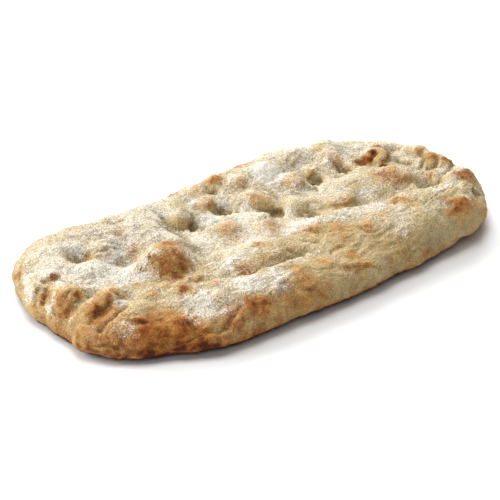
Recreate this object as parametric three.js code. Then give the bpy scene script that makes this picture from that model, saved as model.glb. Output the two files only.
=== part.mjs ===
// Pinsa base: an oblong, hand-stretched flatbread, baked pale, in one piece.
// Millimetres, +Z up. The length runs along X, the flat underside lies on z = 0,
// and the origin is at the middle of the footprint.
import * as THREE from 'three';
import { ImprovedNoise } from 'three/addons/math/ImprovedNoise.js';
import { mergeVertices } from 'three/addons/utils/BufferGeometryUtils.js';

// Driving dimensions of the loaf.
const LENGTH = 318;
const WIDTH = 160;
const SQUARENESS = 3.1; // of the plan: 2 is an ellipse, more is nearer a rectangle
const MARGIN = WIDTH / 2; // from the spine, the middle line of the loaf, to its edge
const SPINE = LENGTH / 2 - MARGIN; // half the spine's length

// The section through the edge: how far in from the edge, and how high.
const UNDERSIDE_INSET = 10;
const CRUST_SECTION = [
  [UNDERSIDE_INSET, 0],
  [3.4, 2.2],
  [0.5, 7.0],
  [0.7, 12.0],
  [4.4, 17.2],
  [12.0, 20.6],
  [22.0, 21.0],
  [34.0, 19.6],
  [46.0, 18.0],
  [60.0, 17.2],
  [MARGIN, 17.0],
];

// Fineness of the faceted skin, and of the paths that the forms follow.
const SPOKES = 164;
const UNDERSIDE_RINGS = 3;
const CRUST_RINGS = 32;
const PATH_POINTS = 24;
const WELD = 1e-4;

// How far the hand-stretched edge stands out from the plain outline, at even steps round it
// from the +X end towards +Y.
const EDGE_DRAW = [
  3, -1.5, 1.5, 2, -1, -2.5, -3.5, -3, 7, -2.5,
  -2, -1.5, -2.5, 3.5, 0, 3, 1, 1, -2, 1.5,
];

// Bumps of the side wall, spread at random round the edge.
const EDGE_BUMPS = { seed: 7, count: 60, across: [16, 34], rise: [0.6, 2.2], height: [3, 15] };

// Puffed rolls of dough: a rounded ridge along each path.
const ROLLS = [
  { path: [[-2, -20], [42, -38], [82, -53], [128, -56]], across: 60, rise: 8 },
  { path: [[-58, -22], [-21, -27], [20, -18]], across: 44, rise: 5 },
  { path: [[-108, -30], [-84, -43], [-48, -55], [-2, -62]], across: 40, rise: 4.5 },
  { path: [[-66, 56], [-66, 40], [-58, 18]], across: 40, rise: 7 },
  { path: [[-130, 42], [-112, 56], [-88, 58]], across: 40, rise: 4 },
  { path: [[68, 8], [90, 2], [110, -3]], across: 44, rise: 7 },
  { path: [[134, 40], [143, 10], [143, -22]], across: 32, rise: 4 },
  { path: [[116, 58], [64, 63], [26, 62]], across: 34, rise: 3 },
];

// Bubbles that have lifted the skin.
const BLISTERS = [
  { at: [-71, 2], across: 36, rise: 12.5 },
  { at: [-51, 17], across: 18, rise: 3 },
  { at: [-31, 39], across: 18, rise: 7.5 },
  { at: [-7, 46], across: 20, rise: 5 },
  { at: [-16, 12], across: 25, rise: 5 },
  { at: [3, -4], across: 18, rise: 5 },
  { at: [21, 30], across: 27, rise: 5.5 },
  { at: [39, 9], across: 30, rise: 5 },
  { at: [4, 13], across: 22, rise: 3 },
  { at: [52, 53], across: 24, rise: 2 },
  { at: [94, 41], across: 28, rise: 4.5 },
  { at: [58, 33], across: 25, rise: 6 },
  { at: [60, -10], across: 24, rise: 6 },
  { at: [89, -33], across: 23, rise: 3 },
  { at: [121, 26], across: 22, rise: 6 },
  { at: [112, -5], across: 26, rise: 4 },
  { at: [145, 11], across: 17, rise: 3 },
  { at: [143, -4], across: 14, rise: 2.5 },
  { at: [145, -15], across: 16, rise: 3 },
  { at: [143, -33], across: 21, rise: 6 },
  { at: [132, -46], across: 14, rise: 3 },
  { at: [111, -63], across: 28, rise: 3 },
  { at: [78, 60], across: 20, rise: 4 },
  { at: [102, 52], across: 22, rise: 4 },
  { at: [16, 64], across: 18, rise: 4 },
  { at: [-6, 61], across: 18, rise: 4 },
  { at: [24, 55], across: 22, rise: 4 },
  { at: [-92, 38], across: 16, rise: 3 },
  { at: [-110, 22], across: 24, rise: 3 },
  { at: [-140, 1], across: 26, rise: 5 },
  { at: [-132, -18], across: 24, rise: 5 },
  { at: [-119, -12], across: 19, rise: 4 },
  { at: [-104, -27], across: 14, rise: 3 },
  { at: [-88, -34], across: 14, rise: 2.5 },
];

// Finger pokes pressed into the dough before baking.
const POKES = [
  { at: [19, 12], across: 20, depth: 10 },
  { at: [70, 30], across: 22, depth: 8.5 },
  { at: [96, 31], across: 17, depth: 6.5 },
  { at: [37, -5], across: 23, depth: 6.5 },
  { at: [-3, 34], across: 19, depth: 7 },
  { at: [-28, 31], across: 21, depth: 7 },
  { at: [-50, -11], across: 25, depth: 7 },
  { at: [-44, 4], across: 22, depth: 5 },
  { at: [-109, 39], across: 25, depth: 5.5 },
  { at: [-91, 21], across: 22, depth: 4.5 },
  { at: [-71, 54], across: 14, depth: 4 },
  { at: [122, -22], across: 26, depth: 7 },
  { at: [137, 24], across: 18, depth: 8 },
  { at: [8, 55], across: 15, depth: 4.5 },
];

// Folds where two swellings of dough meet.
const CREASES = [
  { path: [[-37, 62], [-37, 48], [-41, 30], [-42, 15]], across: 17, depth: 6 },
  { path: [[-76, -31], [-34, -42], [8, -52]], across: 18, depth: 4 },
  { path: [[-124, -2], [-140, -7], [-154, -8]], across: 13, depth: 8 },
  { path: [[-112, -18], [-130, -24], [-144, -28], [-152, -26]], across: 13, depth: 3.5 },
  { path: [[-131, 22], [-144, 20], [-150, 13], [-153, 4]], across: 13, depth: 6 },
];

// Slow unevenness of the hand-made dough, and how far it shifts the forms about.
const WAVE_LENGTH = 24;
const WAVE_HEIGHT = 1.6;
const WAVE_SHIFT = 4;

// The forms fade out between these upward shares of the skin's normal, towards the underside.
const FADE = { from: -0.7, to: 0.1 };

const CRUST_COLOUR = 0xe6d5b0;

// The plain outline of the plan, a rounded rectangle.
class PlainOutline extends THREE.Curve {
  getPoint(t, target = new THREE.Vector3()) {
    const turn = t * 2 * Math.PI;
    const round = (value) => Math.sign(value) * Math.abs(value) ** (2 / SQUARENESS);
    return target.set(round(Math.cos(turn)) * LENGTH / 2, round(Math.sin(turn)) * WIDTH / 2, 0);
  }
}

// The outline as it is drawn out by hand, one point for each spoke.
function edgePoints() {
  const outline = new PlainOutline();
  outline.arcLengthDivisions = 2000;
  const draw = new THREE.CatmullRomCurve3(
    EDGE_DRAW.map((out) => new THREE.Vector3(out, 0, 0)),
    true,
    'catmullrom',
  );
  return outline.getSpacedPoints(SPOKES).map((point, spoke) => {
    const nearest = new THREE.Vector3(THREE.MathUtils.clamp(point.x, -SPINE, SPINE), 0, 0);
    const outward = point.clone().sub(nearest).normalize();
    return point.addScaledVector(outward, draw.getPoint(spoke / SPOKES).x);
  });
}

// A smooth hill: 1 in the middle, 0 from 1 outwards.
function bell(share) {
  return share < 1 ? (1 - share * share) ** 2 : 0;
}

// A rounded roll: fuller than the hill, with a firm foot.
function swell(share) {
  return share < 1 ? (1 - share ** 2.6) ** 1.4 : 0;
}

// Rings of the lathe from the middle of the underside, round the edge, to the middle of the top.
function sectionPoints() {
  const underside = [];
  for (let ring = 0; ring < UNDERSIDE_RINGS; ring++) {
    underside.push(new THREE.Vector2((MARGIN - UNDERSIDE_INSET) * ring / UNDERSIDE_RINGS, 0));
  }
  const crust = new THREE.SplineCurve(
    CRUST_SECTION.map(([inset, height]) => new THREE.Vector2(MARGIN - inset, height)),
  );
  return underside.concat(crust.getSpacedPoints(CRUST_RINGS));
}

// A round bun is turned first. Its centre is then drawn out into the spine, and its rings
// are spread evenly between the spine and the outline.
function plainLoaf() {
  const section = sectionPoints();
  const geometry = new THREE.LatheGeometry(section, SPOKES);
  const edge = edgePoints();
  const position = geometry.getAttribute('position');
  const point = new THREE.Vector3();
  for (let i = 0; i <= SPOKES; i++) {
    const spoke = i % SPOKES;
    const along = 1 - 4 * Math.min(spoke, SPOKES - spoke) / SPOKES;
    const middle = new THREE.Vector3(SPINE * along, 0, 0);
    section.forEach((ring, j) => {
      point.lerpVectors(middle, edge[spoke], ring.x / MARGIN);
      position.setXYZ(i * section.length + j, point.x, point.y, ring.y);
    });
  }
  geometry.deleteAttribute('normal');
  geometry.deleteAttribute('uv');
  const merged = mergeVertices(geometry, WELD);
  merged.computeVertexNormals();
  return merged;
}

// The point of the plain loaf's top over a place in the plan.
function onTop([x, y], plain) {
  const drop = new THREE.Raycaster(new THREE.Vector3(x, y, LENGTH), new THREE.Vector3(0, 0, -1));
  return drop.intersectObject(plain)[0].point;
}

// How strongly a mark along some points is felt at another point, from its size to 0.
// A long mark dies away towards its two ends.
function markAlong(places, across, size, form) {
  const alone = places.length === 1;
  const points = alone ? places : new THREE.CatmullRomCurve3(places).getSpacedPoints(PATH_POINTS);
  const fullness = points.map((_, i) => Math.sqrt(Math.sin(Math.PI * (i + 0.5) / points.length)));
  return (point) => {
    const felt = points.map((place, i) => fullness[i] * form(place.distanceTo(point) / (across / 2)));
    return size * Math.max(...felt);
  };
}

// The bumps of the side wall.
function edgeBumps() {
  const { seed, count, across, rise, height } = EDGE_BUMPS;
  const within = ([least, most]) => THREE.MathUtils.lerp(least, most, THREE.MathUtils.seededRandom());
  THREE.MathUtils.seededRandom(seed);
  const edge = edgePoints();
  return Array.from({ length: count }, () => {
    const place = edge[Math.floor(within([0, SPOKES]))].clone().setZ(within(height));
    return markAlong([place], within(across), within(rise), bell);
  });
}

// Raises and presses the skin along its own normals, leaving the underside flat.
function shapeCrust(geometry) {
  const position = geometry.getAttribute('position');
  const normal = geometry.getAttribute('normal');
  const plain = new THREE.Mesh(geometry);
  const lay = (path) => path.map((place) => onTop(place, plain));
  const raised = [
    ROLLS.map(({ path, across, rise }) => markAlong(lay(path), across, rise, swell)),
    BLISTERS.map(({ at, across, rise }) => markAlong(lay([at]), across, rise, swell)),
    edgeBumps(),
  ];
  const pressed = [
    POKES.map(({ at, across, depth }) => markAlong(lay([at]), across, depth, bell)),
    CREASES.map(({ path, across, depth }) => markAlong(lay(path), across, depth, bell)),
  ];
  const noise = new ImprovedNoise();
  const point = new THREE.Vector3();
  const outward = new THREE.Vector3();
  const strongest = (marks, place) => Math.max(...marks.map((mark) => mark(place)));
  const moved = [];
  for (let i = 0; i < position.count; i++) {
    point.fromBufferAttribute(position, i);
    outward.fromBufferAttribute(normal, i);
    const { x, y, z } = point.clone().divideScalar(WAVE_LENGTH);
    const wave = new THREE.Vector3(noise.noise(x, y, z), noise.noise(y, z, x), noise.noise(z, x, y));
    const felt = point.clone().addScaledVector(wave, WAVE_SHIFT);
    let lift = WAVE_HEIGHT * wave.x;
    raised.forEach((marks) => { lift += strongest(marks, felt); });
    pressed.forEach((marks) => { lift -= strongest(marks, felt); });
    lift *= THREE.MathUtils.smoothstep(outward.z, FADE.from, FADE.to);
    moved.push(point.clone().addScaledVector(outward, lift));
  }
  moved.forEach(({ x, y, z }, i) => position.setXYZ(i, x, y, Math.max(z, 0)));
  geometry.computeVertexNormals();
}

// Sets the loaf on z = 0 with the middle of its footprint at the origin.
function standAtOrigin(geometry) {
  geometry.computeBoundingBox();
  const middle = geometry.boundingBox.getCenter(new THREE.Vector3());
  geometry.translate(-middle.x, -middle.y, -geometry.boundingBox.min.z);
}

function buildLoaf() {
  const geometry = plainLoaf();
  shapeCrust(geometry);
  standAtOrigin(geometry);
  const material = new THREE.MeshStandardMaterial({
    color: CRUST_COLOUR,
    roughness: 0.85,
    metalness: 0,
  });
  const loaf = new THREE.Mesh(geometry, material);
  loaf.name = 'loaf';
  return loaf;
}

const pinsa = new THREE.Group();
pinsa.name = 'pinsa_base';
pinsa.add(buildLoaf());

export default pinsa;
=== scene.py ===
import math
import random

import bpy
import numpy as np
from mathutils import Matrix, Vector, noise


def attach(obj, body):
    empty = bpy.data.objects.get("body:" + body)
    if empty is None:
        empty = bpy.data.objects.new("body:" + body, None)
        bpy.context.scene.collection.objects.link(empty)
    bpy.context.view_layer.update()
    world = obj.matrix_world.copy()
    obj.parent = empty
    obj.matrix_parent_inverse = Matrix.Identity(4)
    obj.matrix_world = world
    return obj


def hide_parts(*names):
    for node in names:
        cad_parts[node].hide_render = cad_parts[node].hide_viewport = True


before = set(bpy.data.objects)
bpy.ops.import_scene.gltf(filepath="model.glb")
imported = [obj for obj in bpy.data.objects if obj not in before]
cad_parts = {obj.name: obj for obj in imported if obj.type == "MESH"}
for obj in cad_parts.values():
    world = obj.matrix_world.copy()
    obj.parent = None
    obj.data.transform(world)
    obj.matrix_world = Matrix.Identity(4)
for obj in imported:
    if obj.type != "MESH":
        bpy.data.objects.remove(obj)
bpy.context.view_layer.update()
mm = 0.001  # sizes of the bread are in millimetres, turned to metres with this
photoSize = 500  # pixels across the photograph, both ways

# The camera looks from low down, past the near left corner of the bread, as in the photograph
photoView = {
    "aim": (-4.3, 8.9, 0),
    "azimuth": -40,
    "elevation": 28,
    "distance": 1000,
    "lens": 115.85,
    "sensor": 36,
}


def placeCamera():
    turn = math.radians(photoView["azimuth"])
    tilt = math.radians(photoView["elevation"])
    away = Vector((math.sin(turn) * math.cos(tilt), -math.cos(turn) * math.cos(tilt), math.sin(tilt)))
    aim = Vector(photoView["aim"]) * mm
    bpy.ops.object.camera_add(location=aim + away * photoView["distance"] * mm,
                              rotation=away.to_track_quat("Z", "Y").to_euler())
    camera = bpy.context.object
    camera.data.lens = photoView["lens"]
    camera.data.sensor_width = photoView["sensor"]
    bpy.context.scene.camera = camera
    bpy.context.view_layer.update()
    print("camera placed")


# The floor and the soft boxes of light around it, in metres
studio = {
    "floorSize": 6.0,
    "floorColour": (0.9, 0.9, 0.9, 1),
    "floorRoughness": 0.9,
    "boxSize": 1.2,
    "boxes": {  # place, then power in watts
        "behind": ((1.11, 1.33, 1.0), 37),
        "left": ((-1.33, 1.11, 1.0), 33),
        "front": ((-0.9, -1.08, 1.41), 6.5),
        "above": ((-0.3, 0.2, 2.0), 26),
    },
    "skyColour": (1, 1, 1, 1),
    "skyStrength": 0.09,
}


def lightStudio():
    bpy.ops.mesh.primitive_plane_add(size=studio["floorSize"], location=(0, 0, 0))
    floor = bpy.context.object
    floor.name = "floor"
    paint = bpy.data.materials.new("pale_floor")
    paint.use_nodes = True
    shader = paint.node_tree.nodes["Principled BSDF"]
    shader.inputs["Base Color"].default_value = studio["floorColour"]
    shader.inputs["Roughness"].default_value = studio["floorRoughness"]
    floor.data.materials.append(paint)

    for name, (place, power) in studio["boxes"].items():
        turn = Vector(place).to_track_quat("Z", "Y").to_euler()
        bpy.ops.object.light_add(type="AREA", location=place, rotation=turn)
        box = bpy.context.object
        box.name = name
        box.data.size = studio["boxSize"]
        box.data.energy = power

    sky = bpy.data.worlds.new("white_room")
    sky.use_nodes = True
    background = sky.node_tree.nodes["Background"]
    background.inputs["Color"].default_value = studio["skyColour"]
    background.inputs["Strength"].default_value = studio["skyStrength"]
    bpy.context.scene.world = sky
    bpy.context.scene.view_settings.view_transform = "Standard"
    print("studio lit:", len(studio["boxes"]), "boxes")


# Tools for shaping and painting a piece by its points

def selectOnly(piece):
    bpy.ops.object.select_all(action="DESELECT")
    piece.select_set(True)
    bpy.context.view_layer.objects.active = piece


def pointsOf(piece):  # places in mm, and which way each point faces
    count = len(piece.data.vertices)
    places = np.empty(count * 3)
    piece.data.vertices.foreach_get("co", places)
    normals = np.empty(count * 3)
    piece.data.vertices.foreach_get("normal", normals)
    return places.reshape(-1, 3) / mm, normals.reshape(-1, 3)


def smoothStep(values, low, high):  # 0 up to low, 1 from high upwards
    share = np.clip((values - low) / (high - low), 0, 1)
    return share * share * (3 - 2 * share)


def below(values, high, low):  # 0 from high upwards, 1 up to low
    return smoothStep(-values, -high, -low)


def hill(share):  # 1 in the middle, 0 from 1 outwards
    return np.clip(1 - share * share, 0, 1) ** 2


def nearSpot(places, spot, across):
    return hill(np.linalg.norm(places - np.array(spot), axis=1) / (across / 2))


def alongPath(places, path, across):
    strongest = np.zeros(len(places))
    for start, end in zip(path[:-1], path[1:]):
        start, run = np.array(start), np.array(end) - np.array(start)
        share = np.clip((places - start) @ run / (run @ run), 0, 1)
        gap = np.linalg.norm(places - start - share[:, None] * run, axis=1)
        strongest = np.maximum(strongest, hill(gap / (across / 2)))
    return strongest


def unevenPlaces(places, size, shift, octaves=2):  # places pushed about a little, to draw uneven forms at
    pushes = [noise.turbulence_vector(Vector(place) / size, octaves, False) for place in places]
    return places + shift * np.array(pushes)


def softened(piece, values, rounds):  # each point takes the mean of its neighbours, again and again
    edges = np.empty(len(piece.data.edges) * 2, dtype=np.int32)
    piece.data.edges.foreach_get("vertices", edges)
    first, second = edges.reshape(-1, 2).T
    count = np.bincount(first, minlength=len(values)) + np.bincount(second, minlength=len(values))
    soft = values.copy()
    for step in range(rounds):
        for axis in range(3):
            total = np.bincount(first, soft[second, axis], len(values))
            total += np.bincount(second, soft[first, axis], len(values))
            soft[:, axis] = total / count
    return soft


def weigh(piece, name, levels, top):  # a vertex group, from whole levels between 0 and top
    group = piece.vertex_groups.new(name=name)
    for level in np.unique(levels[levels > 0]):
        group.add(np.flatnonzero(levels == level).tolist(), level / top, "REPLACE")


def applyWeighted(piece, change):  # the group has the name of the modifier that it weighs
    name = change.name
    change.vertex_group = name
    selectOnly(piece)
    bpy.ops.object.modifier_apply(modifier=name)
    piece.vertex_groups.remove(piece.vertex_groups[name])


def displace(piece, name, height, weights, clouds=None, top=200):  # weights go in steps of 1 / top
    weigh(piece, name, np.clip(weights * top, 0, top).round().astype(int), top)
    change = piece.modifiers.new(name, "DISPLACE")
    change.strength = height * mm
    change.mid_level = 0.5 if clouds else 0
    if clouds:
        change.texture = clouds
        change.texture_coords = "LOCAL"
    applyWeighted(piece, change)


def relax(piece, rounds, weights, sideways=False, top=10):  # smooths more where the weights are higher
    weigh(piece, "relax", np.ceil(weights * top).astype(int), top)
    softer = piece.modifiers.new("relax", "SMOOTH")
    softer.factor = 1.0 if sideways else 0.5
    softer.use_z = not sideways
    softer.iterations = rounds
    applyWeighted(piece, softer)


def writeAttribute(piece, name, values):
    layer = piece.data.attributes.new(name, "FLOAT", "POINT")
    layer.data.foreach_set("value", np.asarray(values, dtype=np.float32))


# The crust is the CAD loaf with its facets smoothed and the finer forms worked in.
# Sizes are in mm. A place, x and y, is a pixel of the photograph, found on the crust by a camera ray.
crustPlan = {
    "seed": 4,  # of the uneven places, so that every run gives the same crust
    "straight": 78,  # half of the length where the two sides run side by side
    "halfWidth": 82,
    "farBelow": 500,  # where a fold that begins past the outline comes from
    "weld": 0.01,  # points nearer than this become one
    "fineness": 2,  # rounds of subdivision
    "softness": 6,  # rounds of smoothing
    "smooth": {
        "flat": 0.01,  # up to this height it is the underside
        "rounds": 80,
        "spine": 9,  # to each side of the middle line
        "spineReach": (120, 100),  # along the middle line: none from the first, all up to the second
        "spots": [(145, 258, 32), (152, 247, 24), (141, 268, 26)],  # x, y, across
        "sideways": 800,  # rounds without a change of height
        "ends": 36,  # across, at both ends of the middle line
        "endsAbove": 8,
    },
    "flatFoot": (0.5, 4),  # the heights where the finer forms begin and are at their full size
    "wander": {  # size of the unevenness, and how far it pushes what is drawn
        "streaks": (16, 5.0),
        "paths": (6, 1.2),
        "spots": (8, 2.6),
        "paint": (8, 5.0),
    },
    "fade": {  # where a form ends softly, as a share of its width
        "smooth": 1.4, "humps": 1.4, "dents": 1.3, "ridges": 1.4, "creases": 1.4,
        "hiddenToast": 1.6, "flour": 1.5, "flourStrips": 1.6, "amber": 1.4,
    },
    "puckers": {
        "height": 0.9, "reach": 20, "count": 16, "linesPerRadius": 6,
        "begin": (0.1, 0.35), "end": (1, 0.4),  # shares of the reach
        "bend": 1.5, "contrast": 1.8,
    },
    "lumps": {"size": 14, "height": 2.0, "depth": 2, "kind": "SOFT_NOISE"},
    "skin": {"size": 6, "height": 0.6, "depth": 2, "kind": "HARD_NOISE"},
    "grain": {"size": 1.9, "height": 0.35, "depth": 1, "kind": "HARD_NOISE"},
    "streaks": {"long": 18, "wide": 6.5, "height": 0.6},
    "wrinkles": {"long": 7, "wide": 2.8, "height": 0.55},
    "rimLines": {"contrast": 3.2, "sharpness": 1.5, "begin": (10, 34), "least": 0.001},  # least: never 0
    "humps": {  # x, y, across, height
        "big bubble": [
            (166, 257, 40, 2.4), (146, 263, 26, 3.0), (154, 250, 18, 2.0), (150, 295, 10, 1.4),
            (165, 285, 12, 2.2), (185, 288, 14, 2.6)],
        "small bubble": [
            (181, 220, 17, 2.2)],
        "near left": [
            (66, 307, 17, 1.2), (98, 308, 18, 1.2), (116, 292, 12, 1.4), (76, 346, 8, 1.4),
            (154, 293, 14, 2.2), (178, 321, 18, 1.0), (52, 280, 9, 1.0)],
        "middle": [
            (270, 228, 14, 2.0), (266, 219, 13, 3.6), (229, 227, 15, 1.8), (236, 238, 12, 1.2),
            (262, 182, 30, 3.2), (266, 170, 24, 2.0), (207, 204, 10, 1.6), (216, 190, 9, 1.4),
            (293, 182, 14, 1.6), (295, 204, 16, 1.2), (309, 172, 12, 1.2), (335, 204, 14, 4.6),
            (346, 201, 15, 5.2), (347, 163, 12, 1.2), (262, 246, 20, 1.0), (203, 266, 13, 2.4),
            (197, 277, 9, 1.4), (214, 264, 9, 1.8), (352, 186, 16, 0.8)],
        "far rim": [
            (213, 179, 13, 1.6), (239, 184, 16, 1.4), (196, 189, 12, 1.0), (328, 152, 15, 1.2),
            (314, 150, 8, 1.0), (286, 160, 12, 1.0)],
        "near side": [
            (257, 303, 20, 1.0), (305, 282, 26, 0.8), (325, 263, 10, 1.0), (216, 284, 13, 1.8),
            (217, 296, 9, 1.0)],
        "long roll": [
            (312, 228, 12, 1.0), (340, 229, 12, 0.9), (352, 254, 10, 0.9), (367, 224, 9, 0.9),
            (394, 200, 10, 1.5), (405, 198, 9, 1.2), (399, 207, 9, 0.8)],
        "right rim": [
            (417, 151, 12, 2.4), (430, 158, 12, 2.4), (446, 161, 12, 2.0), (466, 175, 17, 2.6),
            (435, 176, 14, 1.8), (450, 181, 16, 4.6), (464, 184, 12, 1.2), (403, 180, 20, 1.2),
            (461, 205, 26, 2.0), (482, 211, 22, 3.0), (382, 155, 10, 3.6), (408, 160, 9, 1.2),
            (394, 154, 8, 1.2)],
    },
    "dents": {  # x, y, across, depth
        "near left": [
            (60, 330, 30, 2.6), (44, 325, 24, 1.6)],
        "pokes": [
            (278, 213, 9, 4.0), (317, 183, 8, 3.2), (346, 172, 8, 2.4), (314, 216, 9, 2.0),
            (227, 214, 8, 2.6), (193, 228, 9, 3.0)],
        "burst": [
            (365, 161, 12, 3.0), (373, 154, 9, 3.4), (384, 166, 6, 2.6)],
        "left hollows": [
            (72, 259, 16, 0.9), (84, 260, 16, 1.1), (124, 263, 14, 0.7), (118, 233, 9, 1.4)],
    },
    "creases": {  # across, depth, the pixels it runs through
        "below the bubble": [
            (3.5, 1.6, [(176, 289), (184, 287), (191, 288)]),
            (3.5, 1.4, [(158, 288), (165, 290), (172, 288)]),
            (3.5, 1.3, [(143, 296), (150, 291), (158, 292)]),
            (3.5, 1.0, [(191, 280), (197, 282), (203, 279)])],
        "left end": [
            (4, 1.8, [(47, 290), (44, 298), (42, 306)]), (4, 1.6, [(38, 289), (35, 297), (34, 306)]),
            (4, 1.4, [(44, 283), (52, 279), (58, 277)]), (3.5, 1.2, [(98, 252), (108, 250)]),
            (4, 1.8, [(52, 311), (56, 319), (61, 326)]), (4, 1.2, [(36, 310), (42, 320), (50, 326)])],
        "near left": [
            (3.5, 1.2, [(72, 290), (64, 296), (61, 305)]), (3.5, 1.2, [(78, 299), (70, 305), (66, 313)]),
            (4, 1.9, [(110, 304), (100, 314), (91, 325)]), (3.5, 1.0, [(97, 297), (88, 304), (82, 312)]),
            (4, 1.9, [(126, 307), (114, 318), (101, 330)]),
            (3.5, 1.0, [(58, 279), (66, 283), (76, 285)]),
            (3.5, 1.1, [(80, 341), (90, 344), (104, 346), (118, 349)]),
            (4, 1.7, [(150, 346), (172, 345), (190, 341), (205, 336)]),
            (4, 2.0, [(190, 324), (197, 329)]), (4, 1.3, [(160, 337), (178, 338), (196, 335)])],
        "near side": [
            (4, 1.8, [(290, 250), (298, 253), (305, 256)]),
            (3.5, 1.1, [(328, 255), (335, 249), (345, 246)]),
            (3.5, 0.9, [(302, 291), (308, 291), (314, 289)]),
            (3.5, 0.6, [(360, 228), (368, 232), (378, 231)])],
        "long roll": [
            (3.5, 0.8, [(305, 231), (320, 232), (334, 231), (348, 231)]),
            (3.5, 1.2, [(304, 241), (320, 241)]), (3.5, 0.8, [(378, 238), (386, 232), (394, 226)])],
        "right rim": [
            (4, 1.8, [(421, 153), (424, 161), (420, 168)]),
            (4, 1.8, [(438, 158), (436, 165), (428, 168)]),
            (4, 2.0, [(452, 165), (450, 171), (445, 175)]),
            (4, 1.6, [(396, 160), (404, 163), (410, 164)])],
    },
    "ridges": {  # across, height, the pixels it runs through
        "near left": [
            (6, 2.0, [(122, 303), (112, 312), (100, 324), (90, 335)]),
            (6, 1.8, [(131, 310), (118, 322), (104, 334)]), (5, 1.2, [(104, 300), (92, 310), (83, 322)]),
            (5, 1.2, [(72, 296), (64, 304), (60, 314)]),
            (18, 2.0, [(112, 299), (104, 309), (95, 321), (86, 333)]),
            (12, 1.4, [(80, 297), (71, 305), (62, 315)]),
            (12, 1.4, [(140, 304), (131, 312), (121, 322), (110, 333)]),
            (7, 1.0, [(100, 318), (90, 331), (78, 338)]), (10, 1.2, [(50, 288), (47, 300), (47, 314)])],
        "near side": [
            (5, 1.4, [(274, 293), (275, 286), (284, 278), (300, 270)]),
            (5, 1.2, [(357, 256), (364, 250), (370, 246)]),
            (5, 1.2, [(240, 319), (234, 328), (226, 335)])],
        "right rim": [
            (6, 1.2, [(433, 193), (446, 187), (458, 181), (470, 183)])],
    },
    # Folds: reach and height of the raised side, then reach of the sunk side and its depth at start and end.
    # The left hand of the way it runs is raised: a path from right to left has its sunk side behind it.
    "folds": {
        "pokes": [
            (6, 0.4, 16, 3.0, 1.0, [(284, 213), (279, 217), (273, 218), (266, 216), (259, 213),
                (252, 210), (246, 209)]),
            (5, 0.6, 13, 3.2, 1.6, [(230, 216), (226, 217), (221, 216), (216, 213)]),
            (4, 0.5, 9, 2.2, 1.0, [(223, 196), (219, 198), (214, 196)]),
            (5, 0.2, 16, 3.2, 1.2, [(320, 185), (317, 186), (311, 183), (306, 181)]),
            (5, 0.5, 11, 3.0, 1.6, [(351, 173), (346, 175), (340, 172)]),
            (5, 0.6, 13, 3.4, 1.2, [(329, 210), (328, 215), (318, 219), (309, 216), (302, 213)]),
            (5, 0.6, 9, 2.2, 1.0, [(195, 228), (190, 231), (184, 233), (177, 232), (171, 228)])],
        "left end": [
            (7, 0.8, 13, 1.8, 0.9, [(91, 264), (87, 267), (78, 266), (70, 265), (64, 262)]),
            (6, 0.6, 12, 1.3, 0.9, [(130, 268), (124, 269), (117, 266)]),
            (5, 0.6, 9, 2.0, 1.0, [(126, 235), (120, 237), (111, 235)]),
            (10, 1.2, 6, 1.6, 1.6, [(27, 248), (23, 261), (22, 275), (23, 289)])],
        "left pillow": [
            (10, 0.8, 8, 1.8, 0.6, [(180, 234), (174, 231), (168, 228), (158, 219), (149, 209)])],
        "big bubble": [
            (14, 1.0, 5, 1.2, 1.2, [(178, 284), (188, 281), (192, 272), (189, 260), (184, 249),
                (177, 241)])],
        "near left": [
            (8, 1.2, 4.5, 2.0, 2.0, [(86, 301), (77, 307), (71, 315), (67, 326), (68, 337)]),
            (6, 0.9, 4, 0.8, 0.8, [(120, 299), (112, 313), (98, 327)]),
            (6, 1.0, 4, 1.4, 1.4, [(62, 281), (52, 287), (49, 296), (49, 307), (54, 319), (62, 329)]),
            (8, 1.4, 4.5, 1.5, 1.3, [(122, 318), (130, 320), (139, 321), (148, 321)])],
        "inner roll": [
            (12, 1.8, 8, 1.4, 1.0, [(264, 240), (250, 246), (237, 253), (227, 262), (221, 271)]),
            (7, 1.2, 4, 0.9, 0.9, [(240, 244), (229, 241), (220, 244), (215, 250)]),
            (10, 1.8, 12, 1.6, 1.8, [(318, 253), (306, 255), (294, 259), (284, 265), (274, 268),
                (264, 271), (256, 276), (246, 280), (234, 281)])],
        "near side": [
            (9, 1.4, 5, 1.8, 1.6, [(247, 304), (243, 309), (239, 315), (234, 323), (228, 330),
                (220, 335), (210, 336), (198, 335)]),
            (7, 1.2, 5, 0.5, 0.7, [(338, 265), (348, 265), (358, 264), (370, 264), (382, 267)])],
        "long roll": [
            (12, 2.4, 9, 2.8, 3.0, [(386, 203), (374, 206), (360, 209), (346, 212), (332, 215),
                (318, 220), (300, 222)])],
        "right rim": [
            (12, 3.0, 14, 3.6, 3.0, [(482, 190), (470, 190), (458, 191), (448, 193), (440, 197),
                (432, 202), (424, 206)]),
            (6, 0.8, 10, 2.0, 1.4, [(444, 172), (443, 180), (438, 186), (430, 185)]),
            (6, 0.6, 12, 1.4, 0.8, [(414, 182), (411, 188), (404, 191), (394, 191)]),
            (5, 0.6, 8, 1.4, 1.4, [(403, 197), (396, 204), (388, 205)])],
    },
    "foldEdge": {
        "ends": 0.12,  # share of the path over which a fold rises and dies away
        "brink": 1.8, "drop": (-0.2, 2.0),  # how far the step from the raised to the sunk side takes
        "lipFall": 2, "dipRise": 1.5,
    },
    "edges": {"rounds": 12, "size": 0.7, "lip": 0.6},  # how far a place stands out from the softened crust
    # What the photograph doesn't show is finished in the same way, at random
    "hidden": {
        "rim": 62,  # how far from the middle line the outer side begins
        "lowest": 3,
        "humps": {"seed": 3, "count": 26, "across": (9, 20), "size": (0.8, 2.0)},
        "dents": {"seed": 5, "count": 18, "across": (5, 12), "size": (0.6, 1.6)},
        "toast": {"seed": 7, "count": 44, "across": (6, 22), "size": (0.3, 0.8)},
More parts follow.
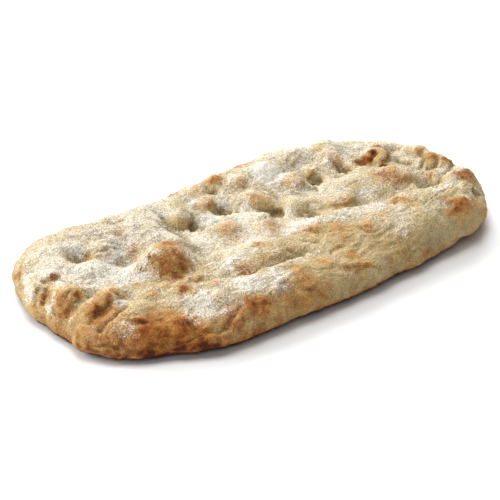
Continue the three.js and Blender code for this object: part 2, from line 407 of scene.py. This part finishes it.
        "flour": {"seed": 9, "count": 16, "across": (14, 40), "size": (0.15, 0.4)},
    },
    # Where the oven browned it, and where some spots darken shaded slopes, pit lips and the foot as painted
    # shade: x, y, across, how dark
    "toast": {
        "big bubble": [
            (171, 262, 26, 0.85), (170, 264, 18, 0.95), (179, 270, 14, 0.9), (163, 271, 12, 0.7),
            (167, 243, 10, 0.6), (176, 242, 8, 0.35), (156, 263, 16, 0.4), (153, 272, 10, 0.1)],
        "below the bubble": [
            (165, 287, 9, 0.5), (184, 289, 10, 0.75), (182, 297, 7, 0.4), (152, 294, 11, 0.5),
            (136, 284, 8, 0.45)],
        "left end": [
            (53, 280, 8, 0.65), (41, 281, 6, 0.45), (46, 297, 7, 1.0), (44, 303, 6, 0.9),
            (36, 292, 4, 0.6), (33, 306, 6, 0.65), (42, 315, 14, 0.5), (49, 315, 9, 0.45),
            (48, 325, 12, 0.5), (60, 332, 14, 0.55), (68, 338, 10, 0.6), (43, 289, 15, 0.32),
            (60, 298, 22, 0.44), (18, 275, 9, 0.45), (40, 239, 6, 0.35), (93, 273, 5, 0.35),
            (102, 222, 14, 0.2), (92, 240, 7, 0.25)],
        "left hollows": [
            (82, 261, 15, 0.36), (132, 252, 10, 0.5), (120, 264, 9, 0.15), (118, 233, 9, 0.4),
            (106, 252, 8, 0.3)],
        "near left lumps": [
            (62, 311, 16, 0.75), (67, 311, 7, 1.0), (76, 295, 12, 0.75), (96, 311, 19, 0.85),
            (98, 305, 7, 0.9), (106, 299, 8, 0.6), (115, 293, 9, 0.6), (108, 294, 5, 0.7),
            (80, 322, 12, 0.5), (80, 331, 9, 0.55), (104, 338, 20, 0.4), (88, 329, 16, 0.48),
            (95, 342, 14, 0.5), (77, 345, 7, 0.55), (101, 344, 9, 0.8), (106, 342, 9, 0.7),
            (124, 312, 8, 0.35)],
        "near left side": [
            (127, 319, 5, 0.6), (134, 320, 5, 0.75), (140, 321, 6, 0.85), (144, 322, 7, 0.9),
            (158, 318, 16, 0.66), (150, 330, 22, 0.62), (165, 335, 28, 0.62), (180, 322, 17, 0.74),
            (178, 330, 14, 0.6), (190, 340, 24, 0.62), (150, 345, 24, 0.6), (170, 348, 24, 0.66),
            (132, 343, 9, 0.3), (200, 334, 14, 0.62), (115, 338, 10, 0.4)],
        # Along the near left foot: a dark baked edge, and painted contact shadow below it
        "near left foot": [
            (130, 349, 40, 0.62), (92, 350, 11, 0.9), (104, 353, 11, 0.95), (116, 354, 12, 1.0),
            (128, 355, 12, 1.05), (140, 355, 12, 1.05), (152, 355, 12, 1.05), (165, 354, 12, 1.05),
            (178, 352, 12, 1.0), (190, 350, 12, 1.0), (203, 347, 13, 0.95), (215, 345, 13, 0.9),
            (228, 342, 12, 0.9), (240, 338, 13, 0.7), (258, 333, 14, 0.65), (280, 325, 12, 0.65)],
        "near side": [
            (257, 304, 18, 0.68), (263, 305, 9, 0.8), (250, 330, 14, 0.45), (308, 278, 30, 0.34),
            (302, 290, 20, 0.42), (309, 290, 10, 0.6), (327, 261, 11, 0.6), (314, 258, 4, 0.75),
            (306, 266, 8, 0.5), (291, 297, 14, 0.5), (330, 285, 10, 0.4), (357, 266, 11, 0.5),
            (367, 265, 7, 0.55), (352, 254, 10, 0.5), (216, 284, 10, 0.5), (217, 296, 8, 0.4),
            # (235, 325) darkens the shaded near face as painted shade, over its baked colour
            (235, 325, 28, 0.7), (300, 304, 26, 0.5), (320, 297, 22, 0.45), (282, 315, 20, 0.5),
            (345, 268, 8, 0.4), (208, 330, 14, 0.5)],
        "inner roll": [
            (246, 270, 14, 0.46), (262, 246, 16, 0.35), (266, 258, 16, 0.3), (236, 266, 12, 0.2),
            (204, 266, 10, 0.42), (197, 279, 8, 0.55), (285, 248, 16, 0.25)],
        "long roll": [
            (306, 227, 12, 0.36), (318, 229, 15, 0.44), (332, 230, 15, 0.44), (346, 230, 13, 0.42),
            (395, 248, 26, 0.3), (367, 224, 10, 0.4), (345, 238, 8, 0.35), (336, 246, 8, 0.3),
            (393, 200, 9, 0.62), (404, 198, 8, 0.5), (383, 213, 12, 0.4), (375, 232, 16, 0.25),
            (428, 256, 10, 0.4), (410, 202, 14, 0.35)],
        "right rim": [
            (462, 204, 18, 0.8), (457, 209, 10, 0.85), (473, 199, 9, 0.7), (467, 175, 15, 0.95),
            (457, 173, 8, 0.6), (456, 168, 8, 0.5), (447, 160, 8, 0.75), (431, 157, 9, 0.7),
            (418, 150, 8, 0.5), (428, 174, 9, 0.4), (403, 180, 20, 0.2), (406, 148, 6, 0.5),
            (388, 156, 6, 0.4)],
        "burst": [
            (362, 163, 11, 0.85), (369, 159, 9, 1.1), (373, 153, 7, 1.2), (375, 146, 7, 0.8),
            (384, 166, 6, 1.0), (384, 174, 18, 0.66), (399, 178, 16, 0.5)],
        "middle": [
            (229, 226, 14, 0.58), (235, 236, 12, 0.48), (224, 234, 8, 0.4), (270, 227, 13, 0.4),
            # (258, 202), (277, 214) and (270, 212) darken a shaded slope and a poke's lip as painted shade
            (258, 202, 16, 0.38), (277, 214, 5, 0.6), (270, 212, 4, 0.3), (207, 204, 8, 0.5),
            (214, 190, 8, 0.3), (345, 205, 12, 0.25), (352, 185, 9, 0.35), (309, 172, 10, 0.3),
            (248, 195, 8, 0.3)],
        "far rim": [
            (215, 178, 8, 0.55), (208, 181, 5, 0.6), (240, 184, 12, 0.38), (196, 189, 9, 0.35),
            (293, 180, 14, 0.34), (285, 160, 9, 0.35), (330, 157, 22, 0.3), (314, 152, 6, 0.35),
            (348, 160, 10, 0.22), (297, 158, 8, 0.3)],
    },
    "browningAndShade": {
        "halo": 0.6, "haloSize": 2.3,  # a spot is a wide pale part and a small dark one
        "core": 0.4, "coreSize": 1.2,
        "steady": 18,  # spots from this size on wander fully
        "side": 0.32, "sideHeight": (17, 2),
        "foot": 1.3, "footHeight": (6.5, 2.6),
        "footAmber": 0.7, "amberHeight": (9, 2),
        "underLess": 0.25, "middleLess": 0.4, "middleReach": (78, 45),
    },
    "underside": (0.8, 0.98),  # how squarely a face that counts as the underside looks down
    # Where the dusting of flour lies thick, or thin where it is below 0, and where a few spots lighten
    # shaded pit walls as painted light: x, y, across, how thick
    "flour": {
        "left end": [
            (60, 268, 50, 0.25), (110, 272, 40, 0.35), (120, 228, 60, 0.2), (49, 312, 10, 0.2),
            (52, 292, 12, 0.2), (72, 249, 15, 0.5), (117, 260, 12, 0.5), (119, 246, 12, 0.45),
            (49, 272, 9, 0.75), (52, 302, 9, 0.65), (91, 301, 9, 0.6), (119, 302, 10, 0.6),
            (90, 320, 8, 0.1)],
        "far side": [
            (160, 213, 50, 0.2), (161, 217, 12, 0.35), (232, 182, 30, 0.1), (300, 156, 40, 0.25),
            (340, 148, 40, 0.25)],
        "round the bubble": [
            (140, 268, 24, 0.4), (152, 250, 14, 0.2), (146, 260, 10, 0.35), (148, 273, 12, 0.45),
            # (189, 216) and (196, 221) lighten the shade beside the small bubble as painted light
            (190, 258, 8, 0.6), (189, 216, 9, 0.65), (189, 203, 10, 0.4), (217, 217, 9, 0.35),
            (195, 243, 24, 0.2), (212, 252, 36, 0.1), (172, 234, 16, 0.3), (180, 219, 13, 0.35),
            (196, 221, 9, 0.25)],
        "valley": [
            (222, 262, 20, 0.2), (240, 284, 26, 0.45), (282, 287, 15, 0.6), (287, 273, 12, 0.4),
            (259, 288, 11, 0.3), (233, 265, 12, 0.25), (207, 306, 30, 0.6), (270, 276, 20, 0.35),
            (245, 240, 34, 0.3)],
        "middle": [
            (300, 222, 24, 0.45), (268, 172, 24, 0.7), (300, 188, 14, 0.5), (287, 189, 11, 0.35),
            # (287, 217), (272, 220) and (290, 209) lighten the shade in the pokes' folds as painted light
            (287, 217, 10, 0.7), (287, 231, 11, 0.45), (272, 220, 9, 0.65), (218, 204, 10, 0.7),
            (245, 204, 10, 0.45), (333, 166, 12, 0.3), (367, 193, 14, 0.25), (290, 209, 10, 0.3),
            (248, 172, 24, 0.1), (335, 185, 34, 0.1), (336, 200, 12, 0.25), (415, 176, 24, 0.15),
            (210, 220, 20, 0.35), (250, 215, 22, 0.35)],
        "long roll": [
            (404, 231, 9, 0.4), (395, 219, 34, 0.28), (272, 256, 30, 0.15), (466, 196, 12, 0.4),
            (430, 210, 14, 0.3), (452, 184, 14, 0.3), (439, 193, 12, 0.25), (441, 203, 11, 0.4),
            (472, 188, 9, 0.3)],
        "bare places": [
            (258, 201, 14, -0.3), (46, 298, 11, -0.5), (53, 280, 11, -0.3), (37, 297, 8, -0.3),
            (91, 259, 11, -0.75), (161, 245, 10, -0.5), (427, 217, 12, -0.4), (259, 259, 10, -0.4),
            (133, 287, 12, -0.4), (259, 273, 11, -0.4), (483, 203, 11, -0.7), (315, 147, 12, -0.4),
            (259, 245, 11, -0.35), (315, 203, 11, -0.4), (231, 245, 11, -0.35), (175, 203, 12, -0.35)],
        "bare rolls": [
            (330, 250, 70, -0.25), (400, 247, 60, -0.35), (455, 218, 60, -0.25), (300, 285, 60, -0.25),
            (230, 310, 60, -0.2), (100, 325, 60, -0.3)],
        "near left side": [
            (131, 331, 17, 0.7), (195, 318, 12, 0.25), (118, 341, 14, 0.25), (165, 320, 5, 0.3),
            (86, 318, 14, 0.15), (86, 336, 9, 0.1)],
    },
    "flourStrips": {  # across, how thick, the pixels it runs through
        # the long roll's and inner roll's strips also paint their crests lighter as painted highlight
        "long roll": [
            (9, 0.25, [(300, 223), (318, 221), (332, 217), (346, 213), (360, 210), (374, 207),
                (388, 204)])],
        "inner roll": [
            (8, 0.25, [(246, 283), (260, 276), (276, 270), (290, 263), (304, 257), (316, 253)]),
            (7, 0.3, [(222, 268), (228, 261), (238, 254), (250, 248)])],
        "left end": [
            (8, 0.25, [(49, 304), (50, 312), (55, 324), (63, 334)]),
            (7, 0.4, [(24, 280), (26, 295), (30, 308)])],
        "near left": [
            (6, 0.4, [(90, 297), (81, 304), (75, 312), (70, 322), (68, 333)]),
            (7, 0.28, [(122, 303), (112, 312), (100, 324), (90, 335)]),
            (7, 0.25, [(131, 310), (118, 322), (104, 334)])],
    },
    "dusting": {
        "side": -0.2, "top": 0.72, "slope": (0.1, 0.95), "rounds": 5,  # thin on the sides, thick on top
        "under": 0.4, "amber": 0.35, "pits": 0.5,  # more below, less on glossy places and in pits
    },
    # Where the bare side baked to a glossy amber: x, y, across, how strong
    "amber": {
        "near left lumps": [
            (66, 311, 9, 0.8), (46, 298, 7, 0.8), (111, 321, 20, 0.4)],
        "near left side": [
            (136, 321, 9, 1.0), (145, 322, 10, 1.0), (155, 332, 34, 1.0), (185, 340, 36, 0.9),
            (200, 335, 20, 0.8)],
        "near side": [
            (257, 305, 18, 0.6), (305, 288, 30, 0.4), (365, 266, 10, 0.8)],
        "bubbles": [
            (174, 241, 12, 0.5), (180, 221, 12, 0.2)],
        "middle": [
            (343, 205, 14, 0.5)],
        "burst": [
            (366, 161, 12, 0.9)],
        "long roll": [
            (393, 200, 8, 0.6)],
        "right rim": [
            (458, 208, 16, 0.6), (411, 177, 30, 0.2), (461, 172, 12, 0.4), (483, 214, 14, 0.4),
            (466, 174, 14, 0.4)],
        "far rim": [
            (331, 157, 24, 0.12), (213, 179, 10, 0.7)],
    },
    "relief": {"rounds": 40, "pits": (0.5, 2.6)},  # the same, more widely softened
    "finish": {  # colours from 0 to 255, and how much each layer counts in a sum
        "bread": {  # how baked it is, then its colour
            "pale": (0.0, (190, 170, 127)),
            "straw": (0.2, (189, 160, 110)),
            "golden": (0.42, (180, 137, 84)),
            "tan": (0.64, (158, 106, 58)),
            "brown": (0.84, (130, 76, 36)),
            "dark": (1.0, (86, 42, 18)),
        },
        "amber": (255, 226, 176),
        "flour": (230, 225, 213),
        "speckles": {  # size, detail, roughness
            "patches": (12, 3, 0.5),
            "blotches": (4, 3, 0.5),
            "specks": (1.1, 2, 0.6),
            "grain": (0.6, 1, 0.5),
            "crinkles": (2.2, 2, 0.5),
        },
        "bakedShare": 0.9,
        "patchyBaked": {"patches": 1.1, "blotches": 0.7},
        "baked": {"relief": 0.05, "blotches": 0.5, "patches": 0.4, "specks": 0.1},
        "dusted": {"toast": -0.5, "relief": -0.06, "edges": 0.15, "patches": 0.5, "blotches": 0.6,
                   "specks": 1.2, "grain": 0.6},
        "dustedStep": (0.2, 1.1),
        "dustedMost": 0.9,
        # The colour is scaled by painted light: painted shade in pits and creases, painted highlight on
        # crests and raised crinkles, and specks and grain as random tone
        "lightShare": 0.9,
        "light": {"pits": -0.12, "edges": 0.3, "specks": 1.1, "grain": 1.2, "crinkles": 1.0},
        "bump": {"crinkles": 1.2, "specks": 0.8, "grain": 0.5},
        "bumpDepth": 1.2,
        "roughness": 0.85,
        "specular": 0.25,
    },
}


def lookAt(crust, x, y):  # the place that shows at a pixel of the photograph, and which way it faces
    camera = bpy.context.scene.camera
    reach = photoView["lens"] / photoView["sensor"] * photoSize
    ray = Vector((x - photoSize / 2, photoSize / 2 - y, -reach)).normalized()
    hit, place, normal, face = crust.ray_cast(camera.location, camera.matrix_world.to_3x3() @ ray)
    if not hit:  # just past the outline, where a fold comes up from under the edge
        place = Vector((0, 0, -crustPlan["farBelow"])) * mm
        normal = Vector((0, 0, 1))
    return np.array(place) / mm, np.array(normal)


def onCrust(crust, x, y):
    return lookAt(crust, x, y)[0]


def everyRow(kind):  # the rows of one kind, from all places on the bread
    return [row for rows in crustPlan[kind].values() for row in rows]


def spotsOf(crust, kind):  # the same for round forms, with the place on the crust for each pixel
    return [(onCrust(crust, x, y), across, size) for x, y, across, size in everyRow(kind)]


def pathsOf(crust, kind):  # and for long ones
    rows = everyRow(kind)
    return [(across, size, [onCrust(crust, x, y) for x, y in path]) for across, size, path in rows]


def strongestSpot(places, spots, fade):
    strongest = np.zeros(len(places))
    for spot, across, size in spots:
        strongest = np.maximum(strongest, size * nearSpot(places, spot, across * fade))
    return strongest


def strongestPath(places, paths, fade):
    strongest = np.zeros(len(places))
    for across, size, path in paths:
        strongest = np.maximum(strongest, size * alongPath(places, path, across * fade))
    return strongest


def spineEnds(places):  # the nearest x on the middle line
    return np.clip(places[:, 0], -crustPlan["straight"], crustPlan["straight"])


def spineGap(places):  # how far each place is from the middle line
    return np.hypot(places[:, 0] - spineEnds(places), places[:, 1])


def hiddenSpots(crust, kind):  # places that the camera doesn't see, each with across and size
    plan = crustPlan["hidden"][kind]
    places, normals = pointsOf(crust)
    away = np.array(bpy.context.scene.camera.location) / mm - places
    unseen = np.einsum("ij,ij->i", away, normals) < 0
    side = (places[:, 2] > crustPlan["hidden"]["lowest"]) & (spineGap(places) > crustPlan["hidden"]["rim"])
    choices = np.flatnonzero(unseen & side).tolist()
    draw = random.Random(plan["seed"])
    rows = []
    for step in range(plan["count"]):
        spot = places[draw.choice(choices)]
        across = draw.uniform(*plan["across"])
        rows.append((spot, across, draw.uniform(*plan["size"])))
    return rows


def smoothPlaces(crust):  # evens out the narrow faces, and the left foot of the big bubble
    plan = crustPlan["smooth"]
    places, normals = pointsOf(crust)
    heights = places[:, 2]
    inner = below(np.abs(places[:, 0]), *plan["spineReach"]) * (normals[:, 2] > 0)
    weights = hill(np.abs(places[:, 1]) / plan["spine"]) * inner
    for x, y, across in plan["spots"]:
        spot = nearSpot(places, onCrust(crust, x, y), across * crustPlan["fade"]["smooth"])
        weights = np.maximum(weights, spot)
    fans = np.where(heights < plan["flat"], 1.0, 0.0)  # the underside, and the ends of the middle line
    for x in (-crustPlan["straight"], crustPlan["straight"]):
        gap = np.hypot(places[:, 0] - x, places[:, 1]) / plan["ends"] * 2
        fans = np.maximum(fans, hill(gap) * (heights > plan["endsAbove"]))
    relax(crust, plan["sideways"], fans, sideways=True)
    relax(crust, plan["rounds"], weights * (heights > plan["flat"]))


def makeCrust():
    noise.seed_set(crustPlan["seed"])
    selectOnly(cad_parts["loaf"])
    bpy.ops.object.duplicate()
    crust = bpy.context.object
    crust.name = "crust"
    crust.data.materials.clear()
    bpy.ops.object.mode_set(mode="EDIT")
    bpy.ops.mesh.select_all(action="SELECT")
    bpy.ops.mesh.remove_doubles(threshold=crustPlan["weld"] * mm)
    bpy.ops.mesh.tris_convert_to_quads()
    bpy.ops.object.mode_set(mode="OBJECT")
    finer = crust.modifiers.new("finer", "SUBSURF")
    finer.levels = crustPlan["fineness"]
    finer.render_levels = crustPlan["fineness"]
    bpy.ops.object.modifier_apply(modifier="finer")
    softer = crust.modifiers.new("softer", "SMOOTH")
    softer.factor = 0.5
    softer.iterations = crustPlan["softness"]
    bpy.ops.object.modifier_apply(modifier="softer")
    smoothPlaces(crust)
    bpy.ops.object.shade_smooth()
    print("crust copied:", len(crust.data.polygons), "faces")
    return crust


def besideFold(crust, places, path):  # how far from a fold, on which side, and how far along
    nearest = np.full(len(places), np.inf)
    side, along = np.zeros(len(places)), np.zeros(len(places))
    spots = [lookAt(crust, x, y) for x, y in path]
    for step in range(len(path) - 1):
        start, normal = spots[step]
        run = spots[step + 1][0] - start
        share = np.clip((places - start) @ run / (run @ run), 0, 1)
        gap = places - start - share[:, None] * run
        away = np.linalg.norm(gap, axis=1)
        closer = away < nearest
        nearest[closer] = away[closer]
        side[closer] = np.sign(gap[closer] @ np.cross(normal, run))
        along[closer] = (step + share[closer]) / (len(path) - 1)
    return nearest * side, along


def foldForms(crust, places):  # how far the folds raise and sink each place
    edge = crustPlan["foldEdge"]
    raised, sunk = np.zeros(len(places)), np.zeros(len(places))
    for lip, height, dip, startDepth, endDepth, path in everyRow("folds"):
        beside, along = besideFold(crust, places, path)
        ends = smoothStep(along, 0, edge["ends"]) * below(along, 1, 1 - edge["ends"])
        over = np.clip(1 - beside / lip, 0, 1) ** edge["lipFall"]
        high = np.where(beside > 0, over, smoothStep(beside, -edge["brink"], 0))
        raised = np.maximum(raised, height * high * ends)
        deep = smoothStep(-beside, *edge["drop"]) * np.clip(1 + beside / dip, 0, 1) ** edge["dipRise"]
        depth = startDepth + (endDepth - startDepth) * along
        sunk = np.maximum(sunk, depth * deep * ends)
    return raised, sunk


def puckerForms(crust, places):  # the skin is drawn into lines around each poke
    plan = crustPlan["puckers"]
    puckered = np.zeros(len(places))
    for x, y, across, depth in crustPlan["dents"]["pokes"]:
        offset = places - onCrust(crust, x, y)
        away = np.hypot(offset[:, 0], offset[:, 1]) / plan["reach"]
        angle = np.arctan2(offset[:, 1], offset[:, 0])
        ring = smoothStep(away, *plan["begin"]) * below(away, *plan["end"])
        turns = plan["count"] / plan["linesPerRadius"]
        spots = np.column_stack([np.cos(angle) * turns, np.sin(angle) * turns, away * plan["bend"] + x])
        near = ring > 0
        lines = np.abs([noise.noise(Vector(spot)) for spot in spots[near]])
        puckered[near] = np.maximum(puckered[near], ring[near] * np.clip(lines * plan["contrast"], 0, 1))
    return puckered


def rimStreaks(places, long, wide):  # uneven streaks that run along the rim of the bread
    plan = crustPlan["rimLines"]
    ends = spineEnds(places)
    out = np.column_stack([places[:, 0] - ends, places[:, 1]])
    gap = np.linalg.norm(out, axis=1) + plan["least"]
    rim = out / gap[:, None] * crustPlan["halfWidth"]
    rim[:, 0] += ends
    spots = np.column_stack([rim / long, (gap - places[:, 2]) / wide])
    streaks = np.abs([noise.noise(Vector(spot)) for spot in spots])
    crests = np.clip(1 - streaks * plan["contrast"], 0, 1) ** plan["sharpness"]
    return crests * smoothStep(gap, *plan["begin"])  # none at the middle line, where the rim's way turns


def roughen(crust, name, weights):  # rise and fall all over, from one of Blender's cloud textures
    plan = crustPlan[name]
    clouds = bpy.data.textures.new(name, "CLOUDS")
    clouds.noise_scale = plan["size"] * mm
    clouds.noise_depth = plan["depth"]
    clouds.noise_type = plan["kind"]
    displace(crust, name, plan["height"], weights, clouds)


def shapeCrust(crust):
    places, normals = pointsOf(crust)
    upper = smoothStep(places[:, 2], *crustPlan["flatFoot"])
    alongRim = unevenPlaces(places, *crustPlan["wander"]["streaks"])
    byPaths = unevenPlaces(places, *crustPlan["wander"]["paths"])
    bySpots = unevenPlaces(places, *crustPlan["wander"]["spots"])
    fade = crustPlan["fade"]
    raised, sunk = foldForms(crust, byPaths)
    humps = spotsOf(crust, "humps") + hiddenSpots(crust, "humps")
    raised = np.maximum(raised, strongestSpot(bySpots, humps, fade["humps"]))
    raised = np.maximum(raised, strongestPath(byPaths, pathsOf(crust, "ridges"), fade["ridges"]))
    dents = spotsOf(crust, "dents") + hiddenSpots(crust, "dents")
    sunk = np.maximum(sunk, strongestSpot(bySpots, dents, fade["dents"]))
    sunk = np.maximum(sunk, strongestPath(byPaths, pathsOf(crust, "creases"), fade["creases"]))
    puckered = puckerForms(crust, bySpots)

    displace(crust, "puckers", crustPlan["puckers"]["height"], puckered * upper)
    roughen(crust, "lumps", upper)
    roughen(crust, "skin", upper)
    displace(crust, "raised", raised.max(), raised / raised.max() * upper)
    displace(crust, "sunk", -sunk.max(), sunk / sunk.max() * upper)
    formed, facing = pointsOf(crust)
    plan = crustPlan["edges"]
    # How far each place stands out: the finish lightens crests as painted highlight and darkens creases as
    # painted shade
    edges = np.einsum("ij,ij->i", formed - softened(crust, formed, plan["rounds"]), facing)
    writeAttribute(crust, "edges", np.clip(edges / plan["size"], -1, plan["lip"]))  # below 0 in a crease
    for name in ("streaks", "wrinkles"):
        plan = crustPlan[name]
        displace(crust, name, plan["height"], rimStreaks(alongRim, plan["long"], plan["wide"]) * upper)
    roughen(crust, "grain", upper)
    print("crust shaped: up to", raised.max().round(1), "mm raised and", sunk.max().round(1), "mm sunk")


# Browning and painted shade in one layer: baked colour, with painted shade on shaded places and near the
# floor
def browningAndShade(crust, places, uneven, under):
    plan = crustPlan["browningAndShade"]
    # Browner down the sides: baked colour, and painted shade towards the floor
    toast = plan["side"] * below(uneven[:, 2], *plan["sideHeight"])  # browner down the sides
    for spot, across, strength in spotsOf(crust, "toast"):
        here = places + (uneven - places) * min(1, across / plan["steady"])  # a small spot wanders less
        halo = nearSpot(here, spot, across * plan["haloSize"])
        core = nearSpot(here, spot, across * plan["coreSize"])
        toast = np.maximum(toast, strength * (plan["halo"] * halo + plan["core"] * core))
    hidden = strongestSpot(uneven, hiddenSpots(crust, "toast"), crustPlan["fade"]["hiddenToast"])
    toast = np.maximum(toast, hidden)
    # The foot: a dark baked edge, and painted contact shadow where it meets the floor
    foot = plan["foot"] * below(places[:, 2], *plan["footHeight"])
    middle = below(spineGap(places), *plan["middleReach"]) * under
    foot = foot * (1 - plan["underLess"] * under - plan["middleLess"] * middle)  # dark edge, golden below
    return np.maximum(toast, foot)


def dusting(crust, normals, uneven, under):
    plan = crustPlan["dusting"]
    slopes = softened(crust, normals, plan["rounds"])[:, 2]
    flour = plan["side"] + plan["top"] * smoothStep(slopes, *plan["slope"]) + plan["under"] * under
    for spot, across, strength in spotsOf(crust, "flour") + hiddenSpots(crust, "flour"):
        flour = flour + strength * nearSpot(uneven, spot, across * crustPlan["fade"]["flour"])
    for across, strength, path in pathsOf(crust, "flourStrips"):
        flour = flour + strength * alongPath(uneven, path, across * crustPlan["fade"]["flourStrips"])
    return flour


def paintCrust(crust):
    places, normals = pointsOf(crust)
    under = smoothStep(-normals[:, 2], *crustPlan["underside"])
    uneven = unevenPlaces(places, *crustPlan["wander"]["paint"])
    toast = browningAndShade(crust, places, uneven, under)
    flour = dusting(crust, normals, uneven, under)
    amber = strongestSpot(uneven, spotsOf(crust, "amber"), crustPlan["fade"]["amber"])
    plan = crustPlan["relief"]
    relief = np.einsum("ij,ij->i", places - softened(crust, places, plan["rounds"]), normals)
    # Pits: the hollows, which the finish darkens as painted shade
    pits = smoothStep(-relief, *plan["pits"])
    plan = crustPlan["dusting"]
    flour = flour - plan["amber"] * amber - plan["pits"] * pits
    plan = crustPlan["browningAndShade"]
    footAmber = plan["footAmber"] * below(places[:, 2], *plan["amberHeight"])
    writeAttribute(crust, "toast", toast)
    writeAttribute(crust, "amber", np.maximum(amber, footAmber))
    writeAttribute(crust, "relief", relief)
    writeAttribute(crust, "pits", pits)
    writeAttribute(crust, "flour", flour)
    print("crust painted: relief from", relief.min().round(1), "to", relief.max().round(1), "mm")


class Wire:  # a socket of a material that can be used in plain sums
    def __init__(self, tree, socket=None):
        self.tree = tree
        self.socket = socket

    def node(self, kind, settings=None, inputs=None, out=0):
        made = self.tree.nodes.new(kind)
        for name, value in (settings or {}).items():
            if name == "stops":
                while len(made.color_ramp.elements) < len(value):
                    made.color_ramp.elements.new(1)
                for stop, (place, shade) in zip(made.color_ramp.elements, value):
                    stop.position = place
                    stop.color = shade
            else:
                setattr(made, name, value)
        for name, value in (inputs or {}).items():
            if isinstance(value, Wire):
                self.tree.links.new(value.socket, made.inputs[name])
            else:
                made.inputs[name].default_value = value
        return Wire(self.tree, made.outputs[out])

    def sum(self, operation, first, second):
        return self.node("ShaderNodeMath", {"operation": operation}, {0: first, 1: second})

    def __add__(self, other):
        return self.sum("ADD", self, other)

    def __sub__(self, other):
        return self.sum("SUBTRACT", self, other)

    def __rsub__(self, other):
        return self.sum("SUBTRACT", other, self)

    def __mul__(self, other):
        return self.sum("MULTIPLY", self, other)

    __radd__ = __add__
    __rmul__ = __mul__

    def size(self):
        return self.node("ShaderNodeMath", {"operation": "ABSOLUTE"}, {0: self})

    def clip(self):
        return self.node("ShaderNodeClamp", {}, {"Value": self})

    def step(self, low, high):  # 0 up to low, 1 from high
        return self.node("ShaderNodeMapRange", {"interpolation_type": "SMOOTHSTEP"},
                         {"Value": self, "From Min": low, "From Max": high})

    def mix(self, first, second, way="MIX"):
        return self.node("ShaderNodeMix", {"data_type": "RGBA", "blend_type": way},
                         {0: self, 6: first, 7: second}, 2)


def colour(red, green, blue):  # from 0 to 255, as a picture shows it
    shares = [value / 255 for value in (red, green, blue)]
    return tuple(s / 12.92 if s <= 0.04045 else ((s + 0.055) / 1.055) ** 2.4 for s in shares) + (1,)


def finishCrust(crust):
    plan = crustPlan["finish"]
    material = bpy.data.materials.new("baked_crust")
    material.use_nodes = True
    tree = material.node_tree
    shader = tree.nodes["Principled BSDF"]
    sheet = Wire(tree)
    place = sheet.node("ShaderNodeTexCoord", out=3)
    layers = {}
    for name in ("toast", "amber", "relief", "flour", "pits", "edges"):
        layers[name] = sheet.node("ShaderNodeAttribute", {"attribute_name": name}, out=2)
    for name, (size, detail, rough) in plan["speckles"].items():
        layers[name] = sheet.node("ShaderNodeTexNoise", {}, {
            "Vector": place, "Scale": 1 / (size * mm), "Detail": detail, "Roughness": rough}) - 0.5
    layers["crinkles"] = layers["crinkles"].size()

    def total(amounts):  # the layers added up, each by its amount
        parts = [layers[name] * amount for name, amount in amounts.items()]
        return sum(parts[1:], parts[0])

    baked = layers["toast"] * (plan["bakedShare"] + total(plan["patchyBaked"])) + total(plan["baked"])
    stops = [(start, colour(*shade)) for start, shade in plan["bread"].values()]
    bread = sheet.node("ShaderNodeValToRGB", {"stops": stops}, {"Fac": baked.clip()})
    bread = layers["amber"].mix(bread, colour(*plan["amber"]), "MULTIPLY")
    dusted = (layers["flour"] + total(plan["dusted"])).step(*plan["dustedStep"]) * plan["dustedMost"]
    skin = dusted.mix(bread, colour(*plan["flour"]))
    # painted light and shade: the colour scaled darker in pits and creases and lighter on crests and
    # crinkles
    skin = sheet.node("ShaderNodeVectorMath", {"operation": "SCALE"},
                      {0: skin, "Scale": plan["lightShare"] + total(plan["light"])})
    tree.links.new(skin.socket, shader.inputs["Base Color"])
    shader.inputs["Roughness"].default_value = plan["roughness"]
    shader.inputs["Specular IOR Level"].default_value = plan["specular"]
    bump = sheet.node("ShaderNodeBump", {}, {
        "Height": total(plan["bump"]), "Strength": 1.0, "Distance": plan["bumpDepth"] * mm})
    tree.links.new(bump.socket, shader.inputs["Normal"])
    crust.data.materials.append(material)
    print("crust finished:", len(tree.nodes), "nodes")


placeCamera()
lightStudio()
crust = makeCrust()
shapeCrust(crust)
paintCrust(crust)
finishCrust(crust)
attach(crust, "root")
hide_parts("loaf")
